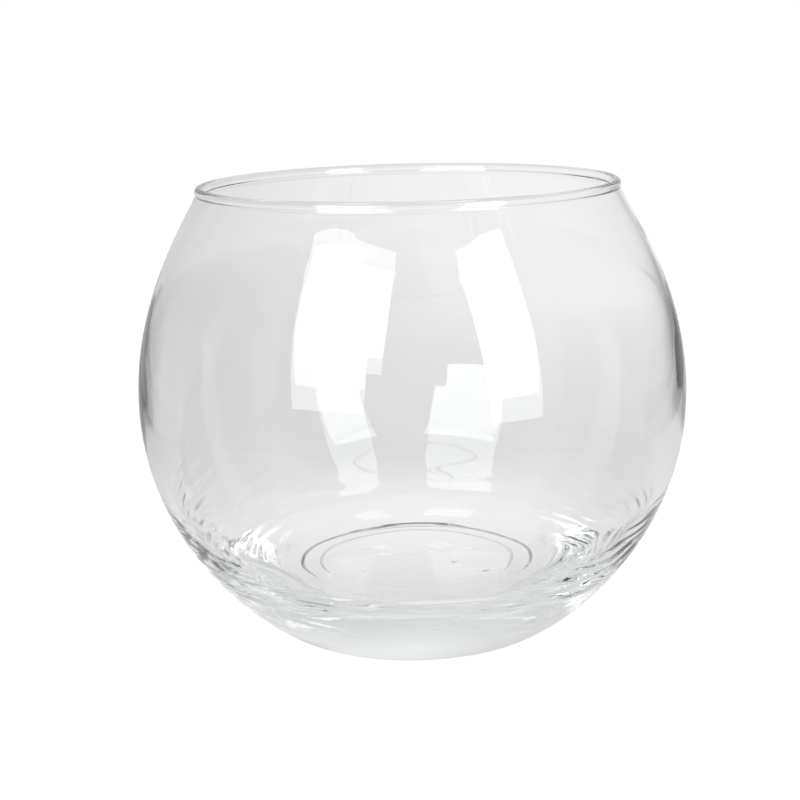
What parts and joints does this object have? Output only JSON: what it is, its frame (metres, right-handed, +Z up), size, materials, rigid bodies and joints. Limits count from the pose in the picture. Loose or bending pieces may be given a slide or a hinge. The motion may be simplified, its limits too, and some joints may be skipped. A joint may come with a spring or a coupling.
{
  "type": "fishbowl vase",
  "caption": "Round clear glass fishbowl vase with a wide mouth, a fire-polished rim bead and a heavy base with a shallow recess, for cut flowers, floating candles or pebbles.",
  "frame": {"origin": "centre of the foot's bearing band, on the bowl's axis, in the plane that the bowl stands on", "axes": "+Z up along the axis of revolution, out of the mouth; X and Y are alike because the bowl is round"},
  "size_m": [0.15, 0.15, 0.1225],
  "materials": {
    "glass": "clear, fire-polished"
  },
  "bodies": {
    "root": {"glass_bowl": "glass"}
  },
  "joints": []
}
